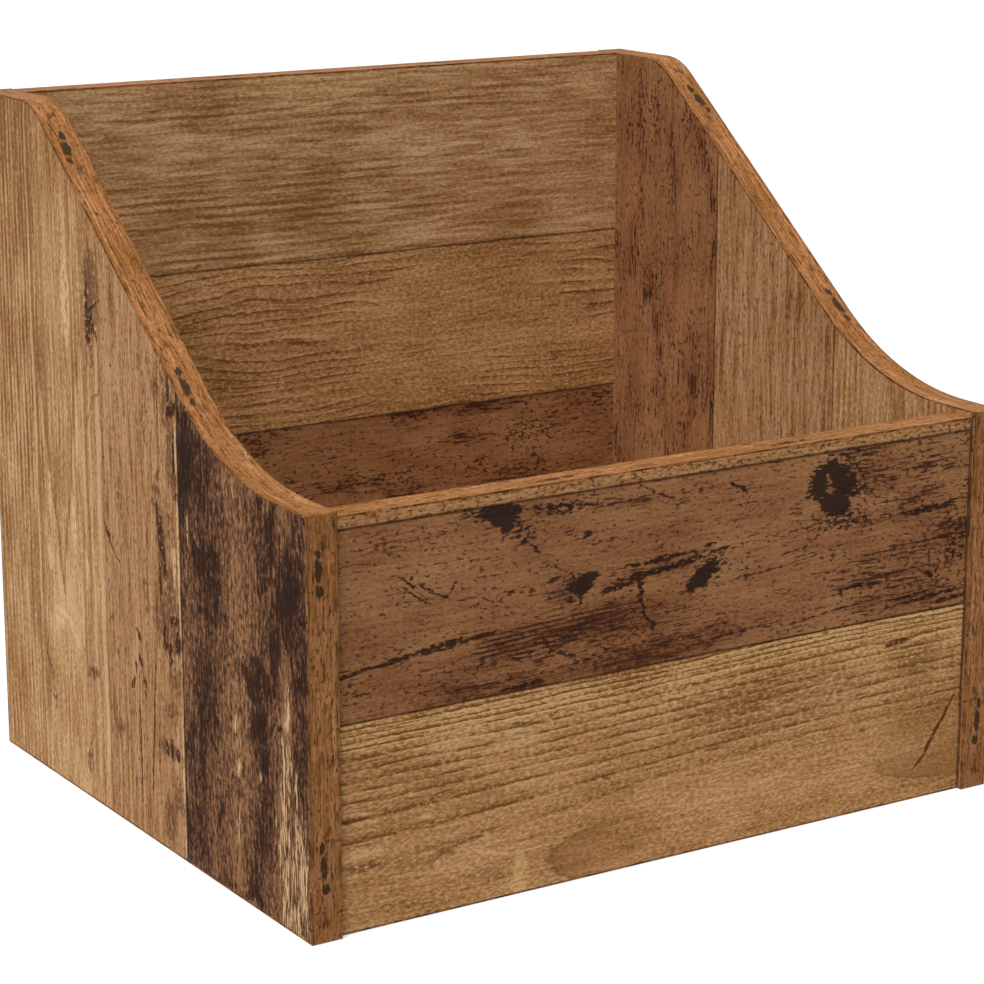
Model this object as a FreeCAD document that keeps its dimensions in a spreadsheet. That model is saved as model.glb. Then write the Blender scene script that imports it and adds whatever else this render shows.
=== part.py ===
import FreeCAD, Part
import math
import os
import Sketcher

# A record storage box of faced board, put together with hidden knock-down fittings.
# Millimetres. The origin is on the floor under the middle of the box, X goes across to the right,
# Y goes to the back, so the front faces -Y, and Z goes up.

DIMENSIONS = (
    ("box_width", 380, "outside width over both side panels"),
    ("box_depth", 320, "depth of a side panel, front edge to rear edge"),
    ("box_height", 335, "height of a side panel at the rear, and of the back panel"),
    ("front_height", 190, "height of a side panel at its front edge"),
    ("board", 15, "thickness of every panel"),
    ("band", 0.8, "thickness of the edge bands"),
    ("wall_inset", 3, "front and back panels stand this far inside the sides' edges"),
    ("front_drop", 3, "top of the front panel below the sides' front corners"),
    ("floor_raise", 10, "underside of the bottom panel above the floor"),
    ("rear_flat", 45, "level part of a side's top edge, at the rear"),
    ("front_flat", 25, "level part of a side's top edge, at the front"),
    ("shoulder_radius", 35, "round where the rear flat turns down into the slope"),
    ("hollow_radius", 148, "hollow curve where the slope runs out into the front flat"),
    ("cam_bore", 15, "diameter of a cam lock's bore"),
    ("cam_depth", 12.5, "depth of a cam lock's bore"),
    ("cam_gap", 0.05, "running gap round a cam lock"),
    ("cam_float", 0.1, "gap over and under a cam lock in its bore"),
    ("cam_setback", 24, "axis of a cam lock from the end of its panel"),
    ("cam_margin", 45, "first cam lock from the edge of its panel"),
    ("cam_room", 11.4, "diameter of the hollow in a cam lock"),
    ("cam_throw", 0.5, "how far that hollow is off the axis"),
    ("cam_room_height", 7.5, "height of that hollow"),
    ("cam_slot_height", 4.6, "height of the slot that the bolt's neck runs in"),
    ("cam_slot_side", 2.3, "the slot reaches this far past the axis"),
    ("cam_entry", 7.6, "diameter of the hole that lets the bolt's head in"),
    ("driver_length", 6.6, "length of each arm of the driver recess, tip to tip"),
    ("driver_width", 1.4, "width of each arm of the driver recess"),
    ("driver_depth", 2.2, "depth of the driver recess"),
    ("bolt_bore", 8, "diameter of the hole that a bolt runs in"),
    ("bolt_thread", 5, "diameter of a bolt's thread"),
    ("bolt_thread_length", 10, "length of a bolt's thread in the side panel"),
    ("bolt_shank", 6.8, "diameter of a bolt's shank"),
    ("bolt_shank_length", 15.5, "length of a bolt's shank"),
    ("bolt_neck", 4, "diameter of a bolt's neck"),
    ("bolt_head", 7, "diameter of a bolt's head"),
    ("bolt_head_length", 2.6, "length of a bolt's head"),
    ("bolt_seat", 3.6, "underside of a bolt's head from the cam lock's axis"),
    ("dowel", 8, "diameter of a dowel"),
    ("dowel_length", 30, "length of a dowel"),
    ("dowel_sunk", 10, "length of a dowel in the face that it enters"),
    ("dowel_step", 32, "a dowel from the cam lock beside it"),
    ("dowel_bevel", 1, "bevel round a dowel's ends"),
    ("floor_dowel", 90, "dowels in the bottom panel's long edges from the middle"),
    ("hole_gap", 0.05, "gap round a dowel or a bolt's thread"),
    ("hole_spare", 1, "depth of a blind hole past the piece in it"),
)

# Places along a line or a curve in a sketch, as the sketcher numbers them
START, END, CENTRE = 1, 2, 3
SKETCH_ORIGIN = -1

# Sizes that follow from the sheet, as expressions
HALF_WIDTH = "dims.box_width / 2"
HALF_DEPTH = "dims.box_depth / 2"
INNER_HALF_WIDTH = "(dims.box_width / 2 - dims.board)"
INNER_HALF_DEPTH = "(dims.box_depth / 2 - dims.wall_inset - dims.board)"
WALL_CENTRE = "(dims.box_depth / 2 - dims.wall_inset - dims.board / 2)"
FLOOR_CENTRE = "(dims.floor_raise + dims.board / 2)"
FRONT_TOP = "(dims.front_height - dims.front_drop)"
CAM_X = f"({INNER_HALF_WIDTH} - dims.cam_setback)"
CAM_LOW = "(dims.cam_depth - dims.board / 2 - dims.cam_float)"
CAM_HIGH = "(dims.board / 2 - dims.cam_float)"
DOWEL_HOLE = "dims.dowel + 2 * dims.hole_gap"

# Each panel's cam locks: name of the place, and its row along the panel's end
FRONT_CAMS = {"lower": "dims.cam_margin", "upper": f"{FRONT_TOP} - dims.cam_margin"}
BACK_CAMS = {"lower": "dims.cam_margin", "upper": "dims.box_height - dims.cam_margin"}
BOTTOM_CAMS = {"front": f"-{INNER_HALF_DEPTH} + dims.cam_margin", "rear": f"{INNER_HALF_DEPTH} - dims.cam_margin"}


def dowel_rows(cams):
    """The dowels' rows: one step in from each of the two cam locks."""
    first, last = cams.values()
    return [f"{first} + dims.dowel_step", f"{last} - dims.dowel_step"]


doc = FreeCAD.newDocument("record_storage_box")
sheet = doc.addObject("Spreadsheet::Sheet", "dims")
for row, (alias, size, note) in enumerate(DIMENSIONS, start=1):
    sheet.set(f"A{row}", alias)
    sheet.set(f"B{row}", str(size))
    sheet.set(f"C{row}", note)
    sheet.setAlias(f"B{row}", alias)
doc.recompute()


def size_of(expression):
    """The present value of an expression over the sheet."""
    return float(sheet.evalExpression(expression))


def new_body(label):
    body = doc.addObject("PartDesign::Body", label)
    body.Label = label
    return body


def new_sketch(body, plane, offset="0"):
    """A sketch on one of the body's own planes, or at an offset along that plane's normal."""
    sketch = body.newObject("Sketcher::SketchObject", f"{body.Name}_sketch")
    origin_plane = next(item for item in body.Origin.OriginFeatures if item.Role == plane)
    sketch.AttachmentSupport = (origin_plane, [""])
    sketch.MapMode = "FlatFace"
    sketch.setExpression(".AttachmentOffset.Base.z", offset)
    return sketch


def hold(sketch, kind, places, expression):
    """Adds a constraint whose value comes from the sheet."""
    index = sketch.addConstraint(Sketcher.Constraint(kind, *places, size_of(expression)))
    sketch.setExpression(f"Constraints[{index}]", expression)


def hold_point(sketch, geometry, place, x=None, y=None):
    """Holds a point of a sketch at a distance from the sketch's origin."""
    for kind, expression in (("DistanceX", x), ("DistanceY", y)):
        if expression is not None:
            hold(sketch, kind, (SKETCH_ORIGIN, START, geometry, place), expression)


def add_outline(sketch, corners):
    """A closed outline of straight lines; each corner is an x and a y expression."""
    points = [FreeCAD.Vector(size_of(x), size_of(y), 0) for x, y in corners]
    lines = []
    for point, following in zip(points, points[1:] + points[:1]):
        lines.append(sketch.addGeometry(Part.LineSegment(point, following)))
    for line, following in zip(lines, lines[1:] + lines[:1]):
        sketch.addConstraint(Sketcher.Constraint("Coincident", line, END, following, START))
    for line, (x, y) in zip(lines, corners):
        hold_point(sketch, line, START, x, y)


def add_rectangle(sketch, low_x, high_x, low_y, high_y):
    add_outline(sketch, [(low_x, low_y), (high_x, low_y), (high_x, high_y), (low_x, high_y)])


def add_circle(sketch, x, y, diameter):
    centre = FreeCAD.Vector(size_of(x), size_of(y), 0)
    circle = sketch.addGeometry(Part.Circle(centre, FreeCAD.Vector(0, 0, 1), size_of(diameter) / 2))
    hold_point(sketch, circle, CENTRE, x, y)
    hold(sketch, "Diameter", (circle,), diameter)


def pad(body, sketch, length):
    feature = body.newObject("PartDesign::Pad", f"{body.Name}_pad")
    feature.Profile = sketch
    feature.setExpression("Length", length)
    doc.recompute()


def pocket(body, sketch, depth, along_normal=False):
    """Cuts the sketch into the body, against the sketch's normal or along it."""
    volume_before = body.Shape.Volume
    feature = body.newObject("PartDesign::Pocket", f"{body.Name}_pocket")
    feature.Profile = sketch
    feature.Reversed = along_normal
    feature.setExpression("Length", depth)
    doc.recompute()
    if not body.Shape.Volume < volume_before:
        raise ValueError(f"{feature.Name} cuts nothing")


def drill(body, plane, offset, along_normal, holes, diameter, depth):
    """Drills equal blind holes; holes are x and y expressions on the plane."""
    sketch = new_sketch(body, plane, offset)
    for x, y in holes:
        add_circle(sketch, x, y, diameter)
    pocket(body, sketch, depth, along_normal)


def place(item, x="0", y="0", z="0", rotation=None):
    """Puts a sub-part in the box's frame."""
    if rotation is not None:
        item.Placement = FreeCAD.Placement(FreeCAD.Vector(), rotation)
    for axis, expression in zip("xyz", (x, y, z)):
        item.setExpression(f".Placement.Base.{axis}", expression)


def facing(x_axis, z_axis):
    """The turn that takes a piece's own X and Z axes to these directions."""
    x_axis = FreeCAD.Vector(*x_axis)
    z_axis = FreeCAD.Vector(*z_axis)
    return FreeCAD.Rotation(x_axis, z_axis.cross(x_axis), z_axis, "ZXY")


def top_edge_slope():
    """Angle of the straight slope, which is tangent to the hollow curve and to the shoulder."""
    run = size_of("dims.box_depth - dims.rear_flat - dims.front_flat")
    drop = size_of("dims.front_height + dims.hollow_radius + dims.shoulder_radius - dims.box_height")
    reach = size_of("dims.hollow_radius + dims.shoulder_radius")
    return math.asin(reach / math.hypot(run, drop)) - math.atan2(drop, run)


def add_top_edge(sketch, inset):
    """The top edge of a side, from the rear to the front, or the same line set in by an inset.

    Returns its first and last lines, whose outer ends are left free.
    """
    slope = top_edge_slope()
    shoulder_y, shoulder_z = f"{HALF_DEPTH} - dims.rear_flat", "dims.box_height - dims.shoulder_radius"
    hollow_y, hollow_z = f"-{HALF_DEPTH} + dims.front_flat", "dims.front_height + dims.hollow_radius"
    shoulder_radius, hollow_radius = f"dims.shoulder_radius - {inset}", f"dims.hollow_radius + {inset}"

    def curve(y, z, radius, first, last):
        circle = Part.Circle(
            FreeCAD.Vector(size_of(y), size_of(z), 0), FreeCAD.Vector(0, 0, 1), size_of(radius))
        arc = Part.ArcOfCircle(circle, first, last)
        index = sketch.addGeometry(arc)
        hold_point(sketch, index, CENTRE, y, z)
        hold(sketch, "Radius", (index,), radius)
        return index, arc.StartPoint, arc.EndPoint

    up, down = math.pi / 2, 3 * math.pi / 2
    shoulder, shoulder_top, shoulder_end = curve(shoulder_y, shoulder_z, shoulder_radius, up, up + slope)
    hollow, hollow_bottom, hollow_end = curve(hollow_y, hollow_z, hollow_radius, down, down + slope)
    rear_end = FreeCAD.Vector(size_of(HALF_DEPTH), shoulder_top.y, 0)
    front_end = FreeCAD.Vector(-size_of(HALF_DEPTH), hollow_bottom.y, 0)
    rear_line = sketch.addGeometry(Part.LineSegment(rear_end, shoulder_top))
    slope_line = sketch.addGeometry(Part.LineSegment(shoulder_end, hollow_end))
    front_line = sketch.addGeometry(Part.LineSegment(hollow_bottom, front_end))
    for first, first_end, second, second_end in (
            (rear_line, END, shoulder, START),
            (shoulder, END, slope_line, START),
            (slope_line, END, hollow, END),
            (hollow, START, front_line, START)):
        sketch.addConstraint(Sketcher.Constraint("Tangent", first, first_end, second, second_end))
    for line in (rear_line, front_line):
        sketch.addConstraint(Sketcher.Constraint("Horizontal", line))
    return rear_line, front_line


def join_with_line(sketch, first, first_place, second, second_place):
    """A straight line between two points of a sketch."""
    line = sketch.addGeometry(Part.LineSegment(
        sketch.getPoint(first, first_place), sketch.getPoint(second, second_place)))
    sketch.addConstraint(Sketcher.Constraint("Coincident", first, first_place, line, START))
    sketch.addConstraint(Sketcher.Constraint("Coincident", line, END, second, second_place))
    return line


# Side panels


def side_holes():
    """Where the cam bolts and the dowels enter a side's inner face, as y and z expressions."""
    bolts, dowels = [], []
    for cams, y in ((FRONT_CAMS, f"-{WALL_CENTRE}"), (BACK_CAMS, WALL_CENTRE)):
        bolts += [(y, row) for row in cams.values()]
        dowels += [(y, row) for row in dowel_rows(cams)]
    bolts += [(row, FLOOR_CENTRE) for row in BOTTOM_CAMS.values()]
    dowels += [(row, FLOOR_CENTRE) for row in dowel_rows(BOTTOM_CAMS)]
    return bolts, dowels


def make_side_panel(label, x, inner_face, drill_along_x):
    """A side panel with a low front; its inner face has the holes for the bolts and dowels."""
    body = new_body(label)
    sketch = new_sketch(body, "YZ_Plane")
    rear_line, front_line = add_top_edge(sketch, "dims.band")
    front, rear = f"-{HALF_DEPTH} + dims.band", f"{HALF_DEPTH} - dims.band"
    hold_point(sketch, rear_line, START, rear)
    hold_point(sketch, front_line, END, front)
    foot = FreeCAD.Vector(size_of(front), size_of("dims.band"), 0)
    heel = FreeCAD.Vector(size_of(rear), size_of("dims.band"), 0)
    foot_line = sketch.addGeometry(Part.LineSegment(foot, heel))
    hold_point(sketch, foot_line, START, front, "dims.band")
    hold_point(sketch, foot_line, END, rear, "dims.band")
    join_with_line(sketch, front_line, END, foot_line, START)
    join_with_line(sketch, foot_line, END, rear_line, START)
    pad(body, sketch, "dims.board")
    bolts, dowels = side_holes()
    bolt_hole = "dims.bolt_thread + 2 * dims.hole_gap"
    drill(body, "YZ_Plane", inner_face, drill_along_x, bolts, bolt_hole, "dims.bolt_thread_length + dims.hole_spare")
    drill(body, "YZ_Plane", inner_face, drill_along_x, dowels, DOWEL_HOLE, "dims.dowel_sunk + dims.hole_spare")
    place(body, x)
    return body


def make_top_band(label, x):
    """The band that follows a side's curved top edge."""
    body = new_body(label)
    sketch = new_sketch(body, "YZ_Plane")
    outer = add_top_edge(sketch, "0")
    inner = add_top_edge(sketch, "dims.band")
    for rear_line, front_line in (outer, inner):
        hold_point(sketch, rear_line, START, HALF_DEPTH)
        hold_point(sketch, front_line, END, f"-{HALF_DEPTH}")
    join_with_line(sketch, outer[0], START, inner[0], START)
    join_with_line(sketch, outer[1], END, inner[1], END)
    pad(body, sketch, "dims.board")
    place(body, x)
    return body


def make_straight_band(label, length, width, height, x, y, z):
    band = doc.addObject("Part::Box", label)
    band.Label = label
    for size, expression in (("Length", length), ("Width", width), ("Height", height)):
        band.setExpression(size, expression)
    place(band, x, y, z)
    return band


def make_side(side):
    """One side panel with the four bands on its edges."""
    x = f"-{HALF_WIDTH}" if side == "left" else INNER_HALF_WIDTH
    inner_face = "dims.board" if side == "left" else "0"
    upright, lying = ("dims.board", "dims.band"), ("dims.board", "dims.box_depth - 2 * dims.band", "dims.band")
    front, rear = f"-{HALF_DEPTH}", f"{HALF_DEPTH} - dims.band"
    return [
        make_side_panel(f"{side}_side_panel", x, inner_face, side == "right"),
        make_top_band(f"{side}_side_top_band", x),
        make_straight_band(
            f"{side}_side_front_band", *upright, "dims.front_height - dims.band", x, front, "0"),
        make_straight_band(
            f"{side}_side_rear_band", *upright, "dims.box_height - dims.band", x, rear, "0"),
        make_straight_band(f"{side}_side_bottom_band", *lying, x, f"{front} + dims.band", "0"),
    ]


# Front, back and bottom panels


def make_board(label, low, high, cams):
    """A panel between the sides, in its own plane, with its fittings' bores at both ends.

    Its X is the box's width, its Y runs from low to high, and the cam bores open on its +Z face.
    """
    body = new_body(label)
    sketch = new_sketch(body, "XY_Plane")
    add_rectangle(sketch, f"-{INNER_HALF_WIDTH}", INNER_HALF_WIDTH, low, high)
    pad(body, sketch, "dims.board")
    cam_bores = [(f"{sign}{CAM_X}", row) for sign in ("-", "") for row in cams.values()]
    drill(body, "XY_Plane", "dims.board", False, cam_bores, "dims.cam_bore", "dims.cam_depth")
    bolt_bores = [(row, "dims.board / 2") for row in cams.values()]
    dowel_bores = [(row, "dims.board / 2") for row in dowel_rows(cams)]
    dowel_depth = "dims.dowel_length - dims.dowel_sunk + dims.hole_spare"
    for end, along_x in ((INNER_HALF_WIDTH, False), (f"-{INNER_HALF_WIDTH}", True)):
        drill(body, "YZ_Plane", end, along_x, bolt_bores, "dims.bolt_bore", "dims.cam_setback")
        drill(body, "YZ_Plane", end, along_x, dowel_bores, DOWEL_HOLE, dowel_depth)
    return body


def make_wall(label, top, cams, y, inner_face, drill_along_normal):
    """The front or the back panel, with two blind holes for the bottom panel's dowels, and its bands."""
    body = make_board(f"{label}_panel", "dims.band", f"{top} - dims.band", cams)
    floor_dowels = [(f"{sign}dims.floor_dowel", FLOOR_CENTRE) for sign in ("-", "")]
    sunk = "dims.dowel_sunk + dims.hole_spare"
    drill(body, "XY_Plane", inner_face, drill_along_normal, floor_dowels, DOWEL_HOLE, sunk)
    place(body, y=y, rotation=facing((-1, 0, 0), (0, 1, 0)))
    strip = (f"2 * {INNER_HALF_WIDTH}", "dims.board", "dims.band", f"-{INNER_HALF_WIDTH}", y)
    return [
        body,
        make_straight_band(f"{label}_panel_top_band", *strip, f"{top} - dims.band"),
        make_straight_band(f"{label}_panel_bottom_band", *strip, "0"),
    ]


def make_bottom_panel():
    """The bottom panel; its own Z points down, so its cam bores open underneath."""
    body = make_board("bottom_panel", f"-{INNER_HALF_DEPTH}", INNER_HALF_DEPTH, BOTTOM_CAMS)
    holes = [(f"{sign}dims.floor_dowel", "dims.board / 2") for sign in ("-", "")]
    depth = "dims.dowel_length - dims.dowel_sunk + dims.hole_spare"
    for edge, along_normal in ((INNER_HALF_DEPTH, False), (f"-{INNER_HALF_DEPTH}", True)):
        drill(body, "XZ_Plane", edge, along_normal, holes, DOWEL_HOLE, depth)
    place(body, z="dims.floor_raise + dims.board", rotation=facing((1, 0, 0), (0, 0, -1)))
    return body


# Fittings


def make_cam(label):
    """A cam lock. Its axis is Z and its driver recess faces +Z; the locked bolt comes in along X."""
    body = new_body(label)
    disc = new_sketch(body, "XY_Plane", f"-{CAM_LOW}")
    add_circle(disc, "0", "0", "dims.cam_bore - 2 * dims.cam_gap")
    pad(body, disc, f"{CAM_LOW} + {CAM_HIGH}")
    room = new_sketch(body, "XY_Plane", "dims.cam_room_height / 2")
    add_circle(room, "-dims.cam_throw", "0", "dims.cam_room")
    pocket(body, room, "dims.cam_room_height")
    slot = new_sketch(body, "XY_Plane", "dims.cam_slot_height / 2")
    add_rectangle(slot, "-dims.cam_bore", "dims.cam_bore", "-dims.cam_bore", "dims.cam_slot_side")
    pocket(body, slot, "dims.cam_slot_height")
    drill(body, "YZ_Plane", "0", False, [("0", "0")], "dims.cam_entry", "dims.cam_bore")
    half_arm, half_arm_width = "dims.driver_length / 2", "dims.driver_width / 2"
    for half_x, half_y in ((half_arm, half_arm_width), (half_arm_width, half_arm)):
        arm = new_sketch(body, "XY_Plane", CAM_HIGH)
        add_rectangle(arm, f"-{half_x}", half_x, f"-{half_y}", half_y)
        pocket(body, arm, "dims.driver_depth")
    return body


def make_cams():
    """Every cam lock, each in its bore and locked on its bolt."""
    cams = []
    for side, x_sign in (("left", -1), ("right", 1)):
        x = CAM_X if x_sign > 0 else f"-{CAM_X}"
        places = [(f"front_cam_{side}_{row}", f"-{WALL_CENTRE}", z) for row, z in FRONT_CAMS.items()]
        places += [(f"back_cam_{side}_{row}", WALL_CENTRE, z) for row, z in BACK_CAMS.items()]
        for label, y, z in places:
            cam = make_cam(label)
            place(cam, x, y, z, facing((x_sign, 0, 0), (0, 1, 0)))
            cams.append(cam)
        for row, y in BOTTOM_CAMS.items():
            cam = make_cam(f"bottom_cam_{side}_{row}")
            place(cam, x, y, FLOOR_CENTRE, facing((x_sign, 0, 0), (0, 0, -1)))
            cams.append(cam)
    return cams


def make_turned_piece(name, profile):
    """A round piece along X; the profile is its outline as x and radius expressions."""
    body = new_body(name)
    sketch = new_sketch(body, "XY_Plane")
    add_outline(sketch, [(profile[0][0], "0")] + profile + [(profile[-1][0], "0")])
    turning = body.newObject("PartDesign::Revolution", f"{name}_turning")
    turning.Profile = sketch
    turning.ReferenceAxis = (sketch, ["H_Axis"])
    turning.Angle = 360
    doc.recompute()
    return body


def make_group(label, pieces):
    """Equal pieces that share one node."""
    group = doc.addObject("Part::Compound", label)
    group.Label = label
    group.Links = pieces
    return group


def make_bolt(name):
    """A cam bolt, with its thread in -X and its head towards the cam lock in +X."""
    seat = "(dims.cam_setback - dims.bolt_seat)"
    steps = (
        ("-dims.bolt_thread_length", "0", "dims.bolt_thread"),
        ("0", "dims.bolt_shank_length", "dims.bolt_shank"),
        ("dims.bolt_shank_length", seat, "dims.bolt_neck"),
        (seat, f"{seat} + dims.bolt_head_length", "dims.bolt_head"),
    )
    profile = []
    for first, last, diameter in steps:
        profile += [(first, f"{diameter} / 2"), (last, f"{diameter} / 2")]
    return make_turned_piece(name, profile)


def make_bolts(side):
    """The six cam bolts in one side panel."""
    x_sign, x = (1, f"-{INNER_HALF_WIDTH}") if side == "left" else (-1, INNER_HALF_WIDTH)
    bolts = []
    for y, z in side_holes()[0]:
        bolt = make_bolt(f"{side}_bolt")
        place(bolt, x, y, z, facing((x_sign, 0, 0), (0, 0, 1)))
        bolts.append(bolt)
    return make_group(f"{side}_cam_bolts", bolts)


def make_dowel(name):
    """A dowel along X; the joint between its two boards is at X = 0."""
    low, high = "-dims.dowel_sunk", "(dims.dowel_length - dims.dowel_sunk)"
    tip, radius = "(dims.dowel / 2 - dims.dowel_bevel)", "dims.dowel / 2"
    profile = [(low, tip), (f"{low} + dims.dowel_bevel", radius), (f"{high} - dims.dowel_bevel", radius), (high, tip)]
    return make_turned_piece(name, profile)


def make_end_dowels(label, rows):
    """The dowels between a panel's two ends and the sides; rows are y and z expressions."""
    dowels = []
    for x_sign, x in ((1, f"-{INNER_HALF_WIDTH}"), (-1, INNER_HALF_WIDTH)):
        for y, z in rows:
            dowel = make_dowel(f"{label}_dowel")
            place(dowel, x, y, z, facing((x_sign, 0, 0), (0, 0, 1)))
            dowels.append(dowel)
    return dowels


def make_floor_dowels():
    """The dowels between the bottom panel's long edges and the front and back panels."""
    dowels = []
    for y_sign, y in ((1, f"-{INNER_HALF_DEPTH}"), (-1, INNER_HALF_DEPTH)):
        for x_sign in ("-", ""):
            dowel = make_dowel("floor_dowel")
            place(dowel, f"{x_sign}dims.floor_dowel", y, FLOOR_CENTRE, facing((0, y_sign, 0), (0, 0, 1)))
            dowels.append(dowel)
    return dowels


def make_dowels():
    front_rows = [(f"-{WALL_CENTRE}", row) for row in dowel_rows(FRONT_CAMS)]
    back_rows = [(WALL_CENTRE, row) for row in dowel_rows(BACK_CAMS)]
    bottom_rows = [(row, FLOOR_CENTRE) for row in dowel_rows(BOTTOM_CAMS)]
    return [
        make_group("front_panel_dowels", make_end_dowels("front", front_rows)),
        make_group("back_panel_dowels", make_end_dowels("back", back_rows)),
        make_group("bottom_panel_dowels", make_end_dowels("bottom", bottom_rows) + make_floor_dowels()),
    ]


# The whole box


def make_sub_parts():
    front_face, back_face = f"-{HALF_DEPTH} + dims.wall_inset", INNER_HALF_DEPTH
    return [
        *make_side("left"),
        *make_side("right"),
        *make_wall("front", FRONT_TOP, FRONT_CAMS, front_face, "dims.board", False),
        *make_wall("back", "dims.box_height", BACK_CAMS, back_face, "0", True),
        make_bottom_panel(),
        *make_cams(),
        make_bolts("left"),
        make_bolts("right"),
        *make_dowels(),
    ]


def check_document(sub_parts):
    """Stops on any object that failed, and on any sub-part without a sound shape."""
    for item in doc.Objects:
        if {"Invalid", "Error"} & set(item.State):
            raise ValueError(f"{item.Name} failed: {item.State}")
    for item in sub_parts:
        if item.Shape.isNull() or not item.Shape.isValid():
            raise ValueError(f"{item.Label} has no sound shape")


sub_parts = make_sub_parts()
doc.recompute()
check_document(sub_parts)
os.makedirs("parts", exist_ok=True)
for item in sub_parts:
    item.Shape.exportStep(f"parts/{item.Label}.step")
    print(item.Label, round(item.Shape.Volume), item.Shape.BoundBox)
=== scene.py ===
"""Looks of the record storage box: old-wood decor on its boards, edge bands, zinc cams, steel and beech."""

from collections import namedtuple
import math

import bpy
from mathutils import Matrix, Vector

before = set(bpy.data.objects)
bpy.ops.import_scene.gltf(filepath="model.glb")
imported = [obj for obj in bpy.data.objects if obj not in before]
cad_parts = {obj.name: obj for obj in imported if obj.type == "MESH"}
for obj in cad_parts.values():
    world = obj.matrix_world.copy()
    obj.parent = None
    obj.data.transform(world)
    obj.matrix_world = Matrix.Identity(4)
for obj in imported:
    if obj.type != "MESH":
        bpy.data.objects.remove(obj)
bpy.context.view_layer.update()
scene = bpy.context.scene

# Camera, metres and degrees
CAMERA_PLACE = (-0.7634, -1.2013, 0.4993)
CAMERA_YAW = 32.55
CAMERA_DIP = 14.14
SENSOR_WIDTH = 36.0
LENS = 108.7

# Studio light
SUN_TOWARDS = (-0.50, -0.33, 1.12)
SUN_STRENGTH = 4.6
SUN_SPREAD = 35.0
SKY_LEVEL = 0.25
FLOOR_HALF = 6.0
FLOOR_LEVEL = -0.0003
FLOOR_GREY = 0.45
FLOOR_GLOW = 0.42

MM_PER_METRE = 1000.0
SPOT_RIM = 0.25
EMBOSS_DEPTH = 0.00010
BOARD_SHINE = 0.02
BOARD_ROUGHNESS = 0.62
BAND_ROUGHNESS = 0.55


class Field:
    """One output of a material's node tree, which can be used in formulas."""

    def __init__(self, socket):
        self.socket = socket
        self.tree = socket.id_data

    def __add__(self, other):
        return calc("ADD", self, other)

    def __radd__(self, other):
        return calc("ADD", other, self)

    def __sub__(self, other):
        return calc("SUBTRACT", self, other)

    def __rsub__(self, other):
        return calc("SUBTRACT", other, self)

    def __mul__(self, other):
        return calc("MULTIPLY", self, other)

    def __rmul__(self, other):
        return calc("MULTIPLY", other, self)

    def __truediv__(self, other):
        return calc("DIVIDE", self, other)


def feed(socket, value):
    """Links a field to a socket, or sets the socket to a constant."""
    if isinstance(value, Field):
        value.tree.links.new(value.socket, socket)
    else:
        socket.default_value = value


def tree_of(*values):
    return next(value.tree for value in values if isinstance(value, Field))


def calc(operation, *values):
    node = tree_of(*values).nodes.new("ShaderNodeMath")
    node.operation = operation
    for socket, value in zip(node.inputs, values):
        feed(socket, value)
    return Field(node.outputs[0])


def vector_calc(operation, *values):
    node = tree_of(*values).nodes.new("ShaderNodeVectorMath")
    node.operation = operation
    for socket, value in zip(node.inputs, values):
        feed(socket, value)
    return Field(node.outputs[0])


def highest(a, b):
    return calc("MAXIMUM", a, b)


def lowest(a, b):
    return calc("MINIMUM", a, b)


def size_of(a):
    return calc("ABSOLUTE", a)


def rise(value, low, high):
    """0 below low, 1 above high, smooth between; falls instead where low is above high."""
    node = value.tree.nodes.new("ShaderNodeMapRange")
    node.interpolation_type = "SMOOTHSTEP"
    feed(node.inputs["Value"], value)
    node.inputs["From Min"].default_value = low
    node.inputs["From Max"].default_value = high
    return Field(node.outputs["Result"])


def bump_line(value, middle, half):
    """1 where value is at middle, 0 from half away."""
    return rise(size_of(value - middle), half, 0.0)


def point(h, v):
    node = tree_of(h, v).nodes.new("ShaderNodeCombineXYZ")
    feed(node.inputs["X"], h)
    feed(node.inputs["Y"], v)
    return Field(node.outputs["Vector"])


def parts_of(vector):
    node = vector.tree.nodes.new("ShaderNodeSeparateXYZ")
    feed(node.inputs[0], vector)
    return [Field(socket) for socket in node.outputs]


def noise_node(place, sizes, seed, detail, roughness, dimensions="2D"):
    tree = place.tree
    scale = [1.0 / size for size in sizes] + [0.0] * (3 - len(sizes))
    moved = vector_calc("MULTIPLY_ADD", place, scale, (seed * 7.31, seed * 3.77, seed * 5.13))
    node = tree.nodes.new("ShaderNodeTexNoise")
    node.noise_dimensions = dimensions
    feed(node.inputs["Vector"], moved)
    node.inputs["Scale"].default_value = 1.0
    node.inputs["Detail"].default_value = detail
    node.inputs["Roughness"].default_value = roughness
    return node


def noise(place, sizes, seed, detail=2.0, roughness=0.5, dimensions="2D"):
    """Soft random field from 0 to 1, with features of about the given sizes in millimetres."""
    return Field(noise_node(place, sizes, seed, detail, roughness, dimensions).outputs[0])


def warped(place, sizes, reach, seed, detail=2.0):
    """The place moved about by up to half of reach, in millimetres."""
    colour = Field(noise_node(place, sizes, seed, detail, 0.5).outputs["Color"])
    shift = vector_calc("SUBTRACT", colour, (0.5, 0.5, 0.5))
    return vector_calc("MULTIPLY_ADD", shift, (reach[0], reach[1], 0.0), place)


def spot(place, h, v, width, height, tilt=0.0):
    """A cone over an ellipse: 1 at its middle, SPOT_RIM at its rim."""
    tree = place.tree
    mapping = tree.nodes.new("ShaderNodeMapping")
    mapping.vector_type = "TEXTURE"
    feed(mapping.inputs["Vector"], place)
    mapping.inputs["Location"].default_value = (h, v, 0.0)
    mapping.inputs["Rotation"].default_value = (0.0, 0.0, math.radians(tilt))
    reach = 0.5 / (1.0 - SPOT_RIM)
    mapping.inputs["Scale"].default_value = (width * reach, height * reach, 1.0)
    cone = tree.nodes.new("ShaderNodeTexGradient")
    cone.gradient_type = "SPHERICAL"
    tree.links.new(mapping.outputs[0], cone.inputs[0])
    return Field(cone.outputs["Fac"])


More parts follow.
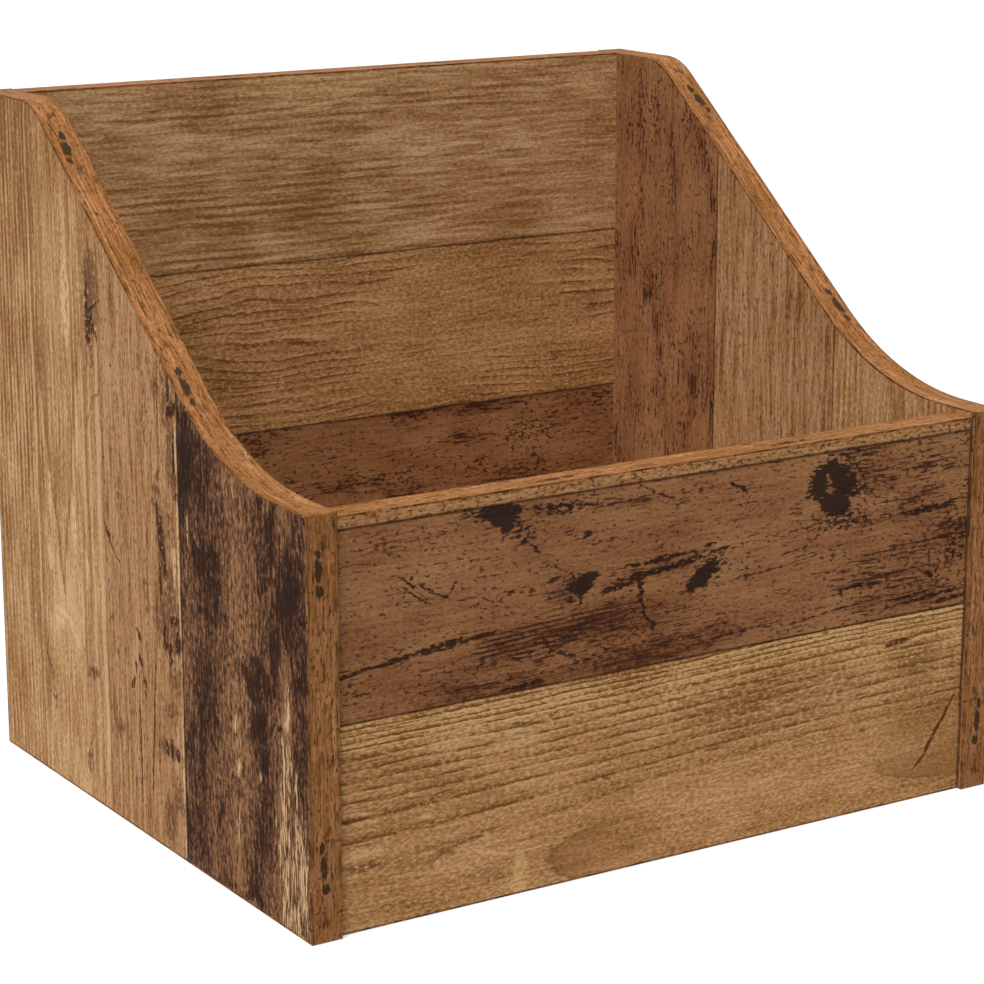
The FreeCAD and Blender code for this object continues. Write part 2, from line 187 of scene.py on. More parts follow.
def spots(place, marks):
    """The highest of several spots at each place."""
    field = spot(place, *marks[0])
    for mark in marks[1:]:
        field = highest(field, spot(place, *mark))
    return field


def stain(field, ragged, depth, softness=0.06):
    """A mask with a ragged edge: the spots' rims moved by a random field, within the spots' reach."""
    mask = rise(field + (ragged - 0.5) * depth, SPOT_RIM - softness, SPOT_RIM + softness)
    return mask * rise(field, 0.0, 0.1)


def colour(code):
    """Linear colour of a web colour code."""
    levels = [int(code[i:i + 2], 16) / 255.0 for i in (1, 3, 5)]
    linear = [c / 12.92 if c <= 0.04045 else ((c + 0.055) / 1.055) ** 2.4 for c in levels]
    return (*linear, 1.0)


def palette(value, *codes):
    """Colours at even steps of a value from 0 to 1."""
    node = value.tree.nodes.new("ShaderNodeValToRGB")
    feed(node.inputs["Fac"], value)
    stops = node.color_ramp.elements
    for i in range(len(codes) - 2):
        stops.new((i + 1) / (len(codes) - 1))
    for i, code in enumerate(codes):
        stops[i].position = i / (len(codes) - 1)
        stops[i].color = colour(code)
    return Field(node.outputs["Color"])


def blend(factor, under, over):
    """The colour over on top of the colour under, as far as factor says."""
    node = factor.tree.nodes.new("ShaderNodeMix")
    node.data_type = "RGBA"
    feed(node.inputs["Factor"], factor)
    feed(node.inputs[6], under)
    feed(node.inputs[7], over)
    return Field(node.outputs[2])


def new_material(name):
    material = bpy.data.materials.new(name)
    material.use_nodes = True
    return material, material.node_tree.nodes["Principled BSDF"]


def object_place(material):
    """Place on the object in millimetres, in its own frame."""
    tree = material.node_tree
    node = tree.nodes.new("ShaderNodeTexCoord")
    return vector_calc("MULTIPLY", Field(node.outputs["Object"]), (MM_PER_METRE,) * 3)


def bump(shader, height, depth):
    """Relief of depth metres from a field from 0 to 1."""
    node = height.tree.nodes.new("ShaderNodeBump")
    node.inputs["Distance"].default_value = depth
    feed(node.inputs["Height"], height)
    height.tree.links.new(node.outputs["Normal"], shader.inputs["Normal"])


def add_camera():
    data = bpy.data.cameras.new("camera")
    data.sensor_width = SENSOR_WIDTH
    data.lens = LENS
    camera = bpy.data.objects.new("camera", data)
    scene.collection.objects.link(camera)
    camera.location = CAMERA_PLACE
    camera.rotation_euler = (math.radians(90.0 - CAMERA_DIP), 0.0, math.radians(-CAMERA_YAW))
    scene.camera = camera


def add_sun():
    data = bpy.data.lights.new("key", "SUN")
    data.energy = SUN_STRENGTH
    data.angle = math.radians(SUN_SPREAD)
    lamp = bpy.data.objects.new("key", data)
    scene.collection.objects.link(lamp)
    lamp.rotation_euler = Vector(SUN_TOWARDS).to_track_quat("Z", "Y").to_euler()


def seen_directly(tree):
    """1 for rays from the camera, from a mirror and through glass, else 0."""
    path = tree.nodes.new("ShaderNodeLightPath")
    seen = highest(Field(path.outputs["Is Camera Ray"]), Field(path.outputs["Is Glossy Ray"]))
    return highest(seen, Field(path.outputs["Is Transmission Ray"]))


def add_sky():
    world = bpy.data.worlds.new("studio")
    world.use_nodes = True
    scene.world = world
    back = world.node_tree.nodes["Background"]
    back.inputs["Color"].default_value = (1.0, 1.0, 1.0, 1.0)
    seen = seen_directly(world.node_tree)
    feed(back.inputs["Strength"], seen * (1.0 - SKY_LEVEL) + SKY_LEVEL)


def add_floor():
    mesh = bpy.data.meshes.new("floor")
    s = FLOOR_HALF
    z = FLOOR_LEVEL
    mesh.from_pydata([(-s, -s, z), (s, -s, z), (s, s, z), (-s, s, z)], [], [(0, 1, 2, 3)])
    floor = bpy.data.objects.new("floor", mesh)
    scene.collection.objects.link(floor)
    material, shader = new_material("floor")
    shader.inputs["Base Color"].default_value = (FLOOR_GREY, FLOOR_GREY, FLOOR_GREY, 1.0)
    shader.inputs["Roughness"].default_value = 0.9
    shader.inputs["Specular IOR Level"].default_value = 0.0
    shader.inputs["Emission Color"].default_value = (1.0, 1.0, 1.0, 1.0)
    feed(shader.inputs["Emission Strength"], seen_directly(material.node_tree) * FLOOR_GLOW)
    mesh.materials.append(material)


def around(field):
    """A random field moved to lie about zero, mostly within a half to each side."""
    return (field - 0.5) * 2.0


class Grain:
    """The random fields that the planks of one face share, in millimetres across and along the grain."""

    def __init__(self, across, along, seed, coarse):
        self.across = across
        self.seed = seed
        self.place = point(across, along)
        self.bent = warped(self.place, (22, 55), (4.0, 8.0), seed + 1)
        self.rough = warped(self.bent, (2.5, 6), (2.0, 5.0), seed + 2, 3.0)
        self.torn = warped(self.bent, (9, 18), (11.0, 24.0), seed + 3, 3.0)
        self.fibre = around(self.noise((1.7 * coarse, 34), 4))
        self.cloud = around(noise(self.place, (26, 60), seed + 5))
        self.nap = around(noise(self.place, (1.0 * coarse, 2.6), seed + 6, 3.0, 0.65))
        self.ragged = self.noise((1.5, 5), 7, 4.0, 0.7)
        self.speck = self.noise((1.4 * coarse, 3.4), 8, 2.5, 0.6)
        self.dash = self.noise((1.1 * coarse, 13), 9, 4.0, 0.65)

    def noise(self, sizes, number, detail=3.0, roughness=0.6):
        return noise(self.bent, sizes, self.seed + number, detail, roughness)


# A layer of marks laid on a face, given one by one. Each mark is its place on the face, width, height and
# tilt, and code is the layer's colour. depth is how ragged the rims are, soft how blurred, mottle how
# broken the inside is. torn marks are bent, streaked ones broken along the grain.
Layer = namedtuple("Layer", "marks code strength depth soft mottle torn streaked",
                   defaults=(0.0, False, False))


def upright(marks):
    """Marks on a face whose grain runs up: across is h, along is v."""
    return marks


def lying(marks):
    """Marks on a face whose grain runs sideways: across is v, along is h."""
    turned = []
    for h, v, width, height, *tilt in marks:
        turned.append((v, h, height, width, -sum(tilt)))
    return turned


def lay(mix, grain, layers, turn):
    """Lays the layers of marks on a face's colour, in order."""
    for layer in layers:
        field = spots(grain.torn if layer.torn else grain.rough, turn(layer.marks))
        mask = stain(field, grain.ragged, layer.depth, layer.soft)
        if layer.mottle:
            broken = grain.dash if layer.streaked else grain.speck
            mask = mask * rise(broken, 0.22 + 0.3 * layer.mottle, 0.42 + 0.2 * layer.mottle)
        mix = blend(mask * layer.strength, mix, colour(layer.code))
    return mix


def speckled_plank(grain, crowd, streaky, dusk):
    """Reddish brown plank, darker by dusk, with more specks and dashes where crowd and streaky say so."""
    groups = around(noise(grain.place, (11, 24), grain.seed + 10, 3.0, 0.6)) * 0.13
    tone = 0.56 + grain.fibre * 0.4 + grain.nap * 0.55 + grain.cloud * 0.48
    tone = tone - rise(streaky, 0.0, 0.6) * 0.17 - dusk
    shade = palette(tone, "#58341f", "#74492c", "#835739", "#8e623f", "#966b47", "#a0754f")
    specks = grain.speck + groups + crowd * 0.11 + streaky * 0.04
    shade = blend(rise(specks, 0.62, 0.70) * 0.85, shade, colour("#3d2318"))
    dashes = grain.dash + groups * 0.6 + streaky * 0.15
    return blend(rise(dashes, 0.62, 0.69) * 0.85, shade, colour("#35201a"))


def ring_lines(rings):
    """Growth lines over a field that counts them: a soft dark side, a dark core, a light edge."""
    ring = calc("FRACT", rings)
    end = rise(ring, 1.0, 0.90)
    return rise(ring, 0.40, 0.88) * end, rise(ring, 0.74, 0.90) * end, bump_line(ring, 0.10, 0.14)


def pale_plank(grain, rings, fade):
    """Pale plank with growth lines over a field that counts them, as strong as fade says."""
    line, core, glint = ring_lines(rings)
    broken = rise(noise(grain.place, (3.4, 24), grain.seed + 16, 3.0, 0.6), 0.34, 0.62)
    dotted = rise(grain.speck, 0.34, 0.56)
    strength = fade * (0.35 + broken * 0.85)
    tone = 0.59 + grain.fibre * 0.4 + grain.nap * 0.9 + grain.cloud * 0.35
    tone = tone - (line * 0.24 + core * (0.12 + dotted * 0.36)) * strength + glint * strength * 0.20
    wood = palette(tone, "#6d4723", "#8a6036", "#a07448", "#b2865a", "#c69b6d")
    flecks = rise(grain.speck, 0.67, 0.74) + rise(grain.dash, 0.65, 0.71)
    wood = blend(flecks * (0.25 + fade * 0.2), wood, colour("#5f3d20"))
    sparks = rise(grain.speck, 0.36, 0.28) * 0.5
    return blend(sparks, wood, colour("#cfa978")), tone


def ring_fuzz(grain):
    """How far growth lines wander on a small scale, in millimetres."""
    return around(noise(grain.place, (1.6, 5.0), grain.seed + 15, 3.0, 0.65)) * 0.7


LINED_SPACING = 4.3


def lined_plank(grain, tone, fade):
    """Light tan plank with fine upright lines, as strong as fade says, on a given tone."""
    wander = around(noise(grain.place, (30, 120), grain.seed + 20)) * 1.6
    wander = wander + around(grain.noise((3, 30), 21)) * 1.2
    ring = calc("FRACT", (grain.across + wander) / LINED_SPACING)
    line = rise(ring, 0.25, 0.72) * rise(ring, 1.0, 0.75)
    broken = rise(noise(grain.place, (5, 30), grain.seed + 22, 3.0, 0.6), 0.34, 0.60)
    tone = tone + grain.fibre * 0.8 + grain.nap * 0.75 + grain.cloud * 0.4
    tone = tone - line * fade * (0.25 + broken * 0.55)
    wood = palette(tone, "#7a512c", "#90663f", "#a1784e", "#b1895f", "#c59f75")
    flecks = rise(grain.speck, 0.65, 0.73) + rise(grain.dash, 0.63, 0.69) * fade
    wood = blend(flecks * 0.55, wood, colour("#6b4526"))
    sparks = rise(grain.speck, 0.36, 0.28) * 0.35
    return blend(sparks, wood, colour("#cfaa80"))


def weathered_plank(grain):
    """Light brown plank with soft streaks and small dark dashes."""
    streaks = around(grain.noise((4.5, 150), 26))
    tone = 0.64 + grain.fibre * 1.0 + grain.nap * 0.8 + streaks * 0.7 + grain.cloud * 0.3
    wood = palette(tone, "#6f4625", "#8d633d", "#9c734c", "#a67d57", "#b58c66")
    specks = rise(grain.speck + grain.cloud * 0.08, 0.64, 0.72)
    marks = specks + rise(grain.dash + grain.cloud * 0.06, 0.60, 0.68)
    return blend(marks * 0.75, wood, colour("#543018"))


def stained_plank(grain, dusky, worn):
    """Dark plank with streaks, darker where dusky says so and lighter where it is worn."""
    mottle = around(grain.noise((2.4, 15), 31, 4.0, 0.7))
    crumbs = around(noise(grain.rough, (1.9, 3.8), grain.seed + 32, 3.0, 0.65))
    chips = noise(grain.rough, (1.3, 5.5), grain.seed + 33, 3.0, 0.65)
    shade = rise(dusky, 0.0, 0.7) * 0.30
    tone = 0.53 + grain.fibre * 0.45 + mottle * 0.6 + crumbs * 1.0 + grain.nap * 0.4 + grain.cloud * 0.3
    wood = palette(tone - shade + worn * 0.18, "#2e1b13", "#442a1d", "#5f402c", "#7a5439", "#976d4b")
    wood = blend(rise(chips, 0.58, 0.65) * 0.8, wood, colour("#26150f"))
    return blend(rise(chips, 0.40, 0.32) * (0.3 + worn * 0.4), wood, colour("#a07650"))


def finish_board(shader, grain, mix):
    """The matt, lightly embossed finish of a printed board face."""
    feed(shader.inputs["Base Color"], mix)
    feed(shader.inputs["Roughness"], grain.nap * 0.12 + BOARD_ROUGHNESS)
    shader.inputs["Specular IOR Level"].default_value = BOARD_SHINE
    bump(shader, grain.fibre * 0.4 + grain.nap * 0.4, EMBOSS_DEPTH)


# Front panel decor: h is x, v is z, in millimetres
FRONT_STRIP_LINE = 181.0
FRONT_JOINT_LINE = 95.0
FRONT_END_LINE = 175.0
FRONT_JOINT_BLUR = 0.2

# Rows of the same planks: how far down the first starts, and how far along each is moved
ROW_DROP = 70.0
ROW_STEP = 150.0
ROW_START = 300.0

# Groups of growth lines: where each starts and ends below the joint, and its spacing
FRONT_RINGS = ((0.0, 12.0, 3.0), (12.0, 36.5, 4.9), (36.5, 44.5, 8.0), (44.5, 90.0, 10.75))

# Where specks and streaks crowd, loops of the grain, fine parallel lines, and a curved crack
FRONT_SPECKLED = (
    (-81, 162, 12, 22, 30), (-5, 124, 16, 14), (23, 146, 14, 8), (-45, 160, 14, 5), (104, 146, 22, 16),
    (168, 121, 14, 14), (25, 112, 22, 10), (150, 112, 30, 12), (-128, 148, 34, 16), (80, 141, 14, 12),
    (-82, 140, 14, 4), (1, 172, 16, 10), (92, 131, 14, 6), (-60, 176, 44, 9, -4), (112, 158, 30, 20),
    (-100, 112, 60, 12, 6), (-150, 172, 30, 8), (-165, 108, 20, 14), (-30, 112, 40, 18),
)
FRONT_STREAKY = (
    (-52, 118, 110, 22, 5), (-90, 99, 60, 8), (-20, 99, 90, 9), (-25, 174, 40, 8), (122, 166, 34, 20),
    (114, 178, 30, 6), (150, 168, 50, 18), (140, 104, 80, 14), (120, 116, 90, 10), (160, 136, 44, 12),
    (-8, 141, 56, 10, 5), (-60, 136, 20, 12), (10, 104, 100, 10), (140, 150, 70, 20, 3),
    (130, 126, 80, 12, 4),
)
FRONT_LOOPS = ((60, 11, 252, 44), (182, 15.5, 118, 18, -4))
FRONT_COMBED = ((-70, 118.5, 84, 16, 3), (-50, 122.5, 44, 9, 4))
FRONT_COMB_PITCH = 2.3
FRONT_COMB_SLOPE = 0.05
FRONT_CRACK = ((169.5, 46.5, 8, 1.4, 57), (165, 40, 10, 2.2, 58), (160.5, 33.5, 10, 2.4, 54),
               (155.5, 26.5, 10, 2.1, 50), (149, 19.5, 12, 1.6, 42))
FRONT_LAYERS = (
    # grey haze, pale scuffs and dark marks on the pale plank
    Layer(((75, 64, 90, 24, 3), (148, 70, 22, 22), (25, 70, 40, 16), (-80, 78, 20, 6)),
          "#5a4426", 0.40, 0.8, 0.25, 0.7),
    Layer(((-83, 7, 8, 26), (-100, 23, 44, 1.2, -16), (-75, 19.6, 30, 1.2), (88, 40, 8, 1.4),
           (110, 23.5, 14, 1.2), (7, 26, 8, 1.6, 24), (30, 39.5, 8, 1.2, 24), (-165, 35.5, 24, 4, 2),
           (-165, 53.5, 16, 1.4, -6), (-130, 47, 8, 2, 8), (-165, 85, 40, 1.4), (-120, 89.5, 60, 1.4),
           (147, 93.3, 50, 1.5, -1), (85, 44.6, 14, 1.2), (59, 64, 8, 1.4), (-83, 77.3, 12, 1.6),
           (-84, 82.6, 14, 1.2)), "#d0aa74", 0.58, 1.2, 0.22, 0.45),
    Layer(((-163, 28.8, 18, 3.2), (-168, 29.4, 10, 2), (-121, 28, 8, 4), (-165, 39.2, 16, 1.4),
           (-36, 45, 3, 2.4), (113, 41, 5, 1.6), (114, 59, 6, 1.8), (129, 53, 4, 1.6),
           (-99, 33, 10, 1.4, 8), (-82, 80, 9, 1.6), (-64, 81, 4, 1.4), (-114, 73, 4, 1.4),
           (-123, 56, 12, 1.0, 6), (-168, 51, 14, 2.4, -4), (-110, 30, 22, 1.6, 10),
           (24, 48.5, 14, 1.0, 3), (14, 82, 4, 1.4), (35, 81.4, 6, 1.2), (90, 93.4, 4, 1.4),
           (164, 91.8, 20, 1.3)), "#4a2c1a", 0.65, 1.2, 0.2, 0.4),
    Layer(((-128, 26, 9, 6, 30), (121, 10, 4, 7), (54, 11, 7, 5, 30), (-22, 8.5, 9, 3, -20),
           (91, 22, 4, 2), (-145, 27, 30, 5, -8), (-100, 13, 20, 6, -10)), "#6b4525", 0.5, 1.6, 0.3, 0.5),
    Layer(((134, 82, 19, 2.2, 3), (128, 81.2, 6, 2.2)), "#432013", 0.9, 1.1, 0.2, 0.2),
    # thin broken scratches on the dark plank
    Layer(((-138, 152, 16, 1.3, -30), (-126, 148, 20, 1.2, -26), (-134, 147, 22, 1.0, -28),
           (-116, 148, 9, 1.4, 48), (-66, 113, 12, 2.2, -40), (-58, 108.5, 14, 2.4, -20),
           (-64, 142.5, 12, 1.5, 12), (-88, 140, 10, 1.3, 16), (-76, 160, 26, 1.4, -44),
           (-60, 146, 16, 1.0, -40), (-8, 175, 22, 1.4, -28), (130, 117.5, 40, 1.0, 3),
           (138, 110.8, 30, 1.1, 3), (155, 131, 40, 1.6, 3), (120, 128, 30, 1.0, 4),
           (68, 136, 9, 1.3, 10), (170, 129, 14, 1.6), (60, 130, 60, 0.9, 4), (-60, 176, 44, 2.4, -3),
           (-30, 174, 30, 1.2, 4), (150, 122, 1.2, 12, 8), (-100, 101, 40, 1.2, 3),
           (-40, 104, 50, 1.2, 4), (30, 102, 60, 1.2, 4), (100, 104, 50, 1.0, 4)),
          "#34201a", 0.9, 1.3, 0.16, 0.4),
    # cracks
    Layer(((-166, 117, 20, 2.0, 6), (-148, 119.2, 24, 2.6, 7), (-123, 121.8, 30, 4.4, 5),
           (-104, 123.4, 18, 2.6, 5)), "#2c1b15", 0.92, 1.3, 0.14, 0.12),
    Layer(((-10, 144, 38, 2.2, 3), (-4, 139.6, 50, 3.4, 5), (-29, 134.3, 24, 3.2, 9),
           (-16.4, 131, 2.4, 12, 12), (-13.5, 121, 2.2, 14, 16), (-11, 113.5, 3, 4), (-18, 137, 5, 4),
           (36, 171, 12, 1.9, -32), (152, 146, 36, 3.6, 1), (165, 148, 20, 1.2, 4),
           (108, 113.4, 26, 2.0, 0), (98, 111, 2.4, 5), (150, 102, 46, 1.8, 4), (140, 104.5, 28, 1.3, 4),
           (166, 99.5, 26, 2.6, 6), (152, 113, 8, 2, -40), (24, 143.5, 14, 2.4, 6), (20, 147, 7, 1.6, 8),
           (-80, 98, 22, 2.4, 4), (156, 118, 1.3, 12, -6)), "#2c1b15", 0.95, 1.4, 0.1, 0.25),
    # blots, the ragged parts round them, and the gap in the largest
    Layer(((-93, 178, 23, 8), (-92, 174, 15, 8), (-90, 170.5, 6, 6), (-50, 137.5, 13, 9),
           (-46, 141, 11, 5, 10), (16, 133, 20, 9, 34), (89.5, 167.5, 25, 20), (93, 157, 18, 14),
           (97, 163, 17, 14)), "#35251c", 1.0, 1.0, 0.06),
    Layer(((-62, 175.5, 28, 7), (-47, 160.5, 9, 3), (-54, 137, 16, 12), (-50, 130, 2.4, 8),
           (-80, 166, 12, 9, -44), (-96, 178, 32, 9), (102, 168, 16, 18), (104, 161, 20, 7, -6),
           (78, 161, 9, 2.4), (94, 147, 30, 9), (98, 151, 18, 6, -24), (100, 179, 24, 4),
           (12, 142, 12, 4, 20), (165, 124, 12, 14), (170, 136, 10, 10), (18, 133, 24, 12, 34)),
          "#2f1f1a", 0.9, 1.8, 0.15, 0.62),
    Layer(((88.5, 167.5, 3.6, 5, 14), (90.5, 162.5, 5, 4)), "#8a5b40", 0.75, 1.8, 0.2, 0.5),
)


def growth_level(grain, h, v):
    """Distance below the front's joint, bent as the growth lines run: they climb to the right."""
    climb = rise(h, -90.0, 130.0) * (2.4 + 2.3 * rise(v, 95.0, 84.0))
    climb = climb + rise(h, -175.0, 110.0) * rise(v, 62.0, 40.0) * 13.5
    ripple = around(noise(grain.place, (10, 70), grain.seed + 50)) * 1.6
    return FRONT_JOINT_LINE - v + climb + ripple + ring_fuzz(grain)


def front_pale_plank(grain, h, v):
    """The lower plank: growth lines that fade downwards, straw near the joint, loops of the grain."""
    level = growth_level(grain, h, v)
    rings = 0.0
    for start, end, spacing in FRONT_RINGS:
        rings = rings + lowest(highest(level - start, 0.0), end - start) / spacing
    left_loop, right_loop = (spots(grain.bent, lying([mark])) for mark in FRONT_LOOPS)
    outside = rise(highest(left_loop, right_loop), 0.28, 0.24)
    strength = rise(level, 76.0, 54.0) * outside + rise(level, 18.0, 9.0) * 1.2
    pale, tone = pale_plank(grain, rings, strength)
    straw = rise(v, 66.0, 90.0) * rise(tone, 0.40, 0.9) * 0.5
    pale = blend(straw, pale, colour("#c8a56c"))
    left_end = rise(h, 0.0, -58.0)
    low_side = rise(v, 30.0, 12.0) * 0.4 + 0.7
    above = rise(h, 105.0, 150.0) * rise(v, 14.0, 22.0) * rise(v, 66.0, 28.0) * 0.65
    tip = highest(rise(left_loop, 0.23, 0.28) * left_end, rise(right_loop, 0.23, 0.28) * low_side)
    pale = blend(highest(tip, above) * 0.5, pale, colour("#7f532b"))
    rim = highest(bump_line(left_loop, 0.25, 0.024) * left_end, bump_line(right_loop, 0.25, 0.03))
    return blend(rim * rise(grain.dash, 0.34, 0.50) * 0.65, pale, colour("#684122"))


def front_dark_plank(grain, h, v):
    """The upper plank: specks, streaks, a dusky lower part and a patch of fine parallel lines."""
    crowd = spots(grain.torn, lying(FRONT_SPECKLED)) + rise(h, 20.0, 150.0) * 0.2
    dusk = rise(118.0 + (h + 170.0) * 0.08 - v, -1.0, 5.0) * rise(h, 90.0, -10.0) * 0.13
    shade = speckled_plank(grain, crowd, spots(grain.torn, lying(FRONT_STREAKY)), dusk)
    comb = calc("FRACT", (v - h * FRONT_COMB_SLOPE + ring_fuzz(grain) * 0.5) / FRONT_COMB_PITCH)
    combed = rise(spots(grain.bent, lying(FRONT_COMBED)), 0.15, 0.45) * rise(grain.dash, 0.30, 0.44)
    return blend(rise(size_of(comb - 0.5), 0.27, 0.13) * combed * 0.85, shade, colour("#331d15"))


def front_strip(grain):
    """The thin light strip along the top."""
    tone = 0.6 + grain.fibre * 0.7 + grain.nap
    strip = palette(tone, "#5f3b20", "#8a5e39", "#9c6e46", "#a67a50", "#b4885e")
    return blend(rise(grain.speck, 0.55, 0.63) * 0.8, strip, colour("#4a2e1c"))


def make_lying_face(name, seed, rows):
    """Horizontal planks: a pale one below, a dark one above it, and a thin strip along the top.

    In rows, the two planks come again above, each row moved along.
    """
    material, shader = new_material(name)
    h, _, v = parts_of(object_place(material))
    if rows:
        row = calc("FLOOR", (v + ROW_DROP) / FRONT_STRIP_LINE)
        v = v + ROW_DROP - row * FRONT_STRIP_LINE
        h = calc("FLOORED_MODULO", row * ROW_STEP + ROW_START - h, FRONT_END_LINE * 2.0) - FRONT_END_LINE
    grain = Grain(v, h, seed, 1.2)
    edge = v + around(noise(grain.place, (50, 30), seed + 52)) * 0.4
    above_joint = rise(edge, FRONT_JOINT_LINE - FRONT_JOINT_BLUR, FRONT_JOINT_LINE + FRONT_JOINT_BLUR)
    above_strip = rise(edge, FRONT_STRIP_LINE - FRONT_JOINT_BLUR, FRONT_STRIP_LINE + FRONT_JOINT_BLUR)
    mix = blend(above_joint, front_pale_plank(grain, h, v), front_dark_plank(grain, h, v))
    mix = lay(mix, grain, FRONT_LAYERS, lying)
    crack = stain(spots(grain.bent, lying(FRONT_CRACK)), grain.ragged, 0.6, 0.2)
    mix = blend(crack * 0.85, mix, colour("#432013"))
    mix = blend(above_strip, mix, front_strip(grain))
    joint = highest(bump_line(edge, FRONT_JOINT_LINE, 1.1), bump_line(edge, FRONT_STRIP_LINE, 1.2))
    # Painted shade: the last 1.2 mm at each end of the front face darken, where it sits recessed between
    # the side bands. In rows, this line falls inside the face as butt joints of the planks.
    joint = highest(joint, rise(size_of(h), FRONT_END_LINE - 1.2, FRONT_END_LINE))
    mix = blend(joint * (0.6 + 0.5 * noise(grain.place, (50, 12), seed + 53)), mix, colour("#2b170f"))
    finish_board(shader, grain, mix)
    return material


# Left side decor: h is -y, v is z, in millimetres
SIDE_HALF = 160.0
SIDE_HEIGHT = 335.0
TURNED_START = 273.0
LEFT_FIRST_JOINT = -36.0
LEFT_SECOND_JOINT = 43.0
LEFT_JOINT_BLUR = 0.3

# A pointed loop of the grain on the tan plank: its foot, half width there and spread upwards
LEFT_VEE_FOOT = (-84.0, 102.0)
LEFT_VEE_HALF = 1.5
LEFT_VEE_SPREAD = 0.19

# Where the stained plank is darker
LEFT_DUSKY = (
    (60, 190, 36, 44), (118, 40, 18, 50), (114, 85, 24, 40), (150, 150, 20, 60), (70, 135, 26, 40),
    (56, 30, 20, 60), (125, 165, 20, 30), (65, 90, 24, 50), (150, 85, 16, 70), (108, 15, 20, 26),
)
LEFT_TAN_LAYERS = (
    # dark lines, light lines, pale scuffs
    Layer(((-109, 180, 3.4, 330), (-98, 220, 3.8, 230), (-53, 130, 2.6, 260), (-66, 250, 3.0, 200),
           (-115, 60, 3.0, 150), (-106, 45, 3.4, 60), (-60, 90, 2.4, 120)), "#7f5733", 0.5, 0.5, 0.25),
    Layer(((-49, 130, 2.6, 270), (-40, 120, 3.4, 280), (-112, 200, 2.4, 250), (-57, 170, 2.2, 120)),
          "#cfab80", 0.55, 0.5, 0.25),
    Layer(((-85, 87, 24, 3.4, -16), (-76, 82, 18, 3, -26), (-90, 83, 14, 2.4, -18), (-70, 77, 8, 3, -36),
           (-97, 145, 4, 28), (-70, 135, 4, 30), (-72, 245, 10, 40), (-99, 115, 6, 16), (-58, 118, 4, 14)),
          "#d8b68a", 0.65, 1.0, 0.2, 0.5),
)
LEFT_LAYERS = (
    # purple brown stains
    Layer(((-43, 252, 17, 46), (-41, 262, 9, 26), (-53, 66, 12, 7), (37, 190, 11, 32), (24, 147, 10, 34),
           (29, 112, 25, 34), (28, 50, 24, 8), (26, 15, 14, 24), (33, 130, 10, 24), (-25, 47, 9, 7),
           (34, 212, 12, 20)), "#583626", 0.75, 1.2, 0.25, 0.3),
    Layer(((-43, 201, 2.0, 32, -40), (-47, 226, 5, 14), (-100, 41, 7, 10), (-106, 66, 3.4, 14),
           (-103, 54, 4.4, 16), (-100, 41, 4, 6), (-30, 49, 4, 5), (20, 170, 6, 18), (22, 220, 8, 12),
           (-21, 162, 3, 18), (-60, 20, 4, 14), (-31, 98, 9, 6), (-25, 83, 4, 9), (30, 225, 9, 16),
           (10, 200, 5, 20), (34, 160, 9, 14), (34, 84, 14, 12), (8, 120, 5, 20), (30, 66, 16, 10),
           (36, 30, 10, 20)), "#55331f", 0.7, 1.4, 0.25, 0.6, True),
    # dark cores and cracks
    Layer(((-3, 42, 1.6, 66), (11.5, 55, 1.7, 74, -5.5), (-9, 72, 2.4, 9, -20), (-6, 81, 2, 6),
           (-1, 85, 3, 6, 20), (3, 77, 3.4, 5, 30), (3, 70, 2, 6), (-2, 97, 3, 9, 25),
           (-29, 137, 1.6, 24, 38), (-48, 244, 3.0, 28, -4), (-46.5, 236, 6.5, 16, -15),
           (-41, 246, 12, 1.8, 30), (-41, 236, 2, 14, 24), (-143, 305, 3, 18), (-154, 296, 3.4, 44),
           (38, 213, 11, 6, 24), (35, 222, 2.4, 14), (41, 172, 5, 6, 30), (23, 152, 6, 18),
           (27, 140, 4, 16, 10), (35, 114, 11, 6, 20), (26, 104, 5, 14), (22, 130, 3, 20),
           (40, 190, 3.4, 24), (20, 160, 2, 14), (31, 97, 4, 12), (38, 104, 6, 12), (26, 50, 2, 8),
           (31, 50, 2, 9), (36, 50, 3, 6)), "#361b11", 0.9, 1.2, 0.14, 0.15),
    # pale splinters along the second joint
    Layer(((41.4, 196, 2.0, 24), (41.4, 150, 2.4, 46), (41.5, 118, 1.8, 24), (41.5, 68, 2.0, 30),
           (41.5, 38, 1.8, 22), (41.6, 92, 1.6, 14), (41.6, 10, 1.6, 14), (37, 142, 3, 22)),
          "#d2ae84", 0.8, 1.2, 0.2, 0.35),
)
